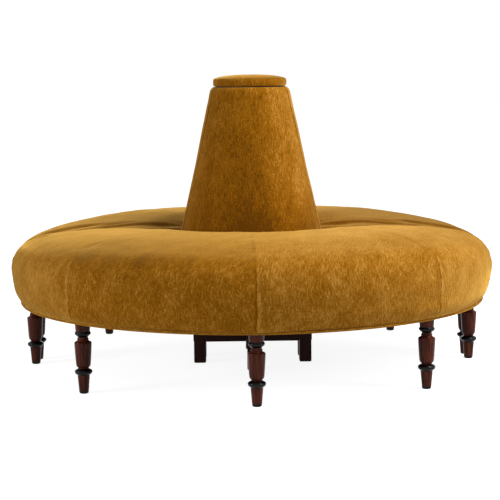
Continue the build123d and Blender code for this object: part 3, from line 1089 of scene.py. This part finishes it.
def capNapAndPaintedShade(place):
    # painted shade in the groove of the sewn edge
    near = math.exp(-((place.z - cap["seamHeight"]) / 1.8) ** 2)
    return 0.46 - cap["seamPaintedShade"] * near * smoothBetween(polar(place)[0], 112, 118)


capPoints, capFaces = capMesh()
capPad = meshPiece("CapPad", capPoints, capFaces, [velvet, liningCloth], 60)
# black lining cloth underneath, which also stands in as painted shade in the gap
for polygon in capPad.data.polygons:
    if polygon.center.z < cap["liningAndPaintedShadeTop"] * mm:
        polygon.material_index = 1
layGrain(capPad, capGrain, capNapAndPaintedShade)
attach(capPad, "cap")
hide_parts("cap_cover", "cap_foam")
print("cap made")


# one turned leg, and where the five of each half stand
leg = {
    "circle": 776.5,
    "endReach": 763.0,
    "endOffset": 42.0,
    "segments": 48,
    # radius and height of each step of the turning, from the foot up
    "profile": [
        (11.3, 0), (14, 1.6), (15.4, 5), (15.8, 10), (17.3, 30), (19, 50), (19.6, 60.5),
        (21.4, 61.6), (24.4, 63.6), (26.8, 66), (28.1, 69), (28.4, 72), (27.6, 74.4), (25.2, 76.6),
        (21.6, 78.6), (18.2, 80.2), (16.8, 81.8), (17, 83.2), (18.8, 85.4), (21.6, 88.4),
        (23, 91.6), (23.8, 98), (24.8, 112), (26.6, 140), (27.7, 160), (27.8, 164.2),
        (27.2, 166.2), (25, 167.6), (21.4, 169.4), (18.8, 171.4), (17.7, 173.2), (18.4, 174.8),
        (18.8, 176.2), (18.2, 177.8), (16.8, 179.4), (16.2, 181.2), (16.4, 183), (17.8, 185.2),
        (20.8, 187.6), (23.6, 190), (25.4, 192.4), (26, 195), (25.4, 197.6), (23.8, 199.8),
        (22.6, 201.4), (22.8, 203), (23.3, 207.2), (23.9, 215), (24.6, 224.9),
    ],
    # heights between which the turning is ebonised
    "ebonised": [(0, 10), (60.5, 81.8), (183, 203)],
}


def turnLeg():
    # a disc drawn up step by step and scaled to each radius, as on a lathe
    radius, height = leg["profile"][0]
    bpy.ops.mesh.primitive_circle_add(
        vertices=leg["segments"], radius=radius * mm, fill_type="NGON", location=(0.0, 0.0, 0.0),
    )
    piece = bpy.context.object
    bpy.ops.object.mode_set(mode="EDIT")
    bpy.ops.mesh.select_all(action="SELECT")
    for nextRadius, nextHeight in leg["profile"][1:]:
        rise = (0.0, 0.0, (nextHeight - height) * mm)
        bpy.ops.mesh.extrude_region_move(TRANSFORM_OT_translate={"value": rise})
        wider = nextRadius / radius
        bpy.ops.transform.resize(
            value=(wider, wider, 1.0), center_override=(0.0, 0.0, nextHeight * mm),
        )
        radius, height = nextRadius, nextHeight
    bpy.ops.mesh.select_all(action="SELECT")
    bpy.ops.mesh.normals_make_consistent(inside=False)
    bpy.ops.object.mode_set(mode="OBJECT")
    bpy.ops.object.shade_smooth_by_angle(angle=math.radians(32))
    piece.data.materials.append(turnedWood)
    piece.data.materials.append(ebonised)
    for polygon in piece.data.polygons:
        at = polygon.center.z / mm
        polygon.material_index = int(any(low <= at < high for low, high in leg["ebonised"]))
    return piece


legPlaces = {"Middle": (0.0, -leg["circle"])}
for sideName, side in (("Left", -1), ("Right", 1)):
    slant = leg["circle"] * math.sqrt(0.5)
    legPlaces[sideName] = (side * slant, -slant)
    legPlaces[sideName + "End"] = (side * leg["endReach"], -leg["endOffset"])
lathed = turnLeg()
for placeName, (legX, legY) in legPlaces.items():
    spot = Matrix.Translation((legX * mm, legY * mm, 0.0))
    frontLeg = movedCopy(lathed, "FrontLeg" + placeName, spot)
    for piece, side in bothHalves(frontLeg, "RearLeg" + placeName):
        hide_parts(side + "_legs")
bpy.data.objects.remove(lathed, do_unlink=True)
print("legs made")


# the photograph's view: place in metres, angles in degrees, lens in mm
shot = {
    "place": (-0.0874, -5.422, 1.0444),
    "heading": 0.87,
    "down": 6.895,
    "roll": 0.59,
    "lens": 111.46,
}
cameraData = bpy.data.cameras.new("Camera")
cameraData.lens = shot["lens"]
cameraData.sensor_width = 36.0
camera = bpy.data.objects.new("Camera", cameraData)
camera.matrix_world = (
    Matrix.Translation(shot["place"])
    @ Matrix.Rotation(math.radians(-shot["heading"]), 4, "Z")
    @ Matrix.Rotation(math.radians(90.0 - shot["down"]), 4, "X")
    @ Matrix.Rotation(math.radians(-shot["roll"]), 4, "Z")
)
scene.collection.objects.link(camera)
scene.camera = camera

# how bright the floor looks, and how much light the white backdrop gives
studio = {
    "floorColour": "#C4C4C4",
    "floorGlow": 0.88,
    "backdropLight": 0.34,
}
bpy.ops.mesh.primitive_plane_add(size=60.0)
floor = bpy.context.object
floor.name = "Floor"
# matt floor paint: it keeps the shadow, and shows near white to the camera and in reflections
floorMaterial = newMaterial("MattFloorPaint")
floorPaint = addNode(floorMaterial, "ShaderNodeBsdfDiffuse", inputs={
    "Color": linearColour(studio["floorColour"]),
})
floorGlow = addNode(floorMaterial, "ShaderNodeEmission", inputs={
    "Color": linearColour("#FFFFFF"), "Strength": studio["floorGlow"],
})
floorBoth = addNode(floorMaterial, "ShaderNodeAddShader", inputs={
    0: floorPaint.outputs["BSDF"], 1: floorGlow.outputs["Emission"],
})
floorPath = addNode(floorMaterial, "ShaderNodeLightPath")
floorSeen = addNode(floorMaterial, "ShaderNodeMath", {"operation": "MAXIMUM"}, {
    0: floorPath.outputs["Is Camera Ray"], 1: floorPath.outputs["Is Glossy Ray"],
})
floorMix = addNode(floorMaterial, "ShaderNodeMixShader", inputs={
    0: floorSeen.outputs["Value"], 1: floorPaint.outputs["BSDF"], 2: floorBoth.outputs["Shader"],
})
addNode(floorMaterial, "ShaderNodeOutputMaterial", inputs={"Surface": floorMix.outputs["Shader"]})
floor.data.materials.append(floorMaterial)

# place, the height on the sofa's axis that it is aimed at, width in metres, and watts
lamps = {
    "TopLight": ((2.2, -1.1, 3.5), 0.4, 1.5, 150),
    "RightLight": ((4.2, -1.8, 2.0), 0.5, 1.8, 50),
    "RearLight": ((0.6, 4.2, 1.6), 0.4, 2.0, 40),
    "LeftLight": ((-4.2, -2.0, 1.2), 0.4, 1.8, 82),
}
for lampName, (lampPlace, aimHeight, lampWidth, watts) in lamps.items():
    lampData = bpy.data.lights.new(lampName, "AREA")
    lampData.shape = "DISK"
    lampData.size = lampWidth
    lampData.energy = watts
    lamp = bpy.data.objects.new(lampName, lampData)
    lamp.location = lampPlace
    toSofa = Vector((0, 0, aimHeight)) - Vector(lampPlace)
    lamp.rotation_euler = toSofa.to_track_quat("-Z", "Y").to_euler()
    scene.collection.objects.link(lamp)

world = bpy.data.worlds.new("Studio")
world.use_nodes = True
world.node_tree.nodes.clear()
scene.world = world
worldPath = addNode(world, "ShaderNodeLightPath")
worldSeen = addNode(world, "ShaderNodeMath", {"operation": "MAXIMUM"}, {
    0: worldPath.outputs["Is Camera Ray"], 1: worldPath.outputs["Is Glossy Ray"],
})
worldShown = addNode(world, "ShaderNodeMath", {"operation": "MAXIMUM"}, {
    0: worldSeen.outputs["Value"], 1: worldPath.outputs["Is Transmission Ray"],
})
# what is looked at is white, and what falls on the sofa is soft and low
worldStrength = addNode(world, "ShaderNodeMapRange", inputs={
    "Value": worldShown.outputs["Value"], "To Min": studio["backdropLight"], "To Max": 1.0,
})
backdrop = addNode(world, "ShaderNodeBackground", inputs={
    "Color": linearColour("#FFFFFF"), "Strength": worldStrength.outputs["Result"],
})
addNode(world, "ShaderNodeOutputWorld", inputs={"Surface": backdrop.outputs["Background"]})

scene.view_settings.view_transform = "Standard"
print("camera, floor and lights made")
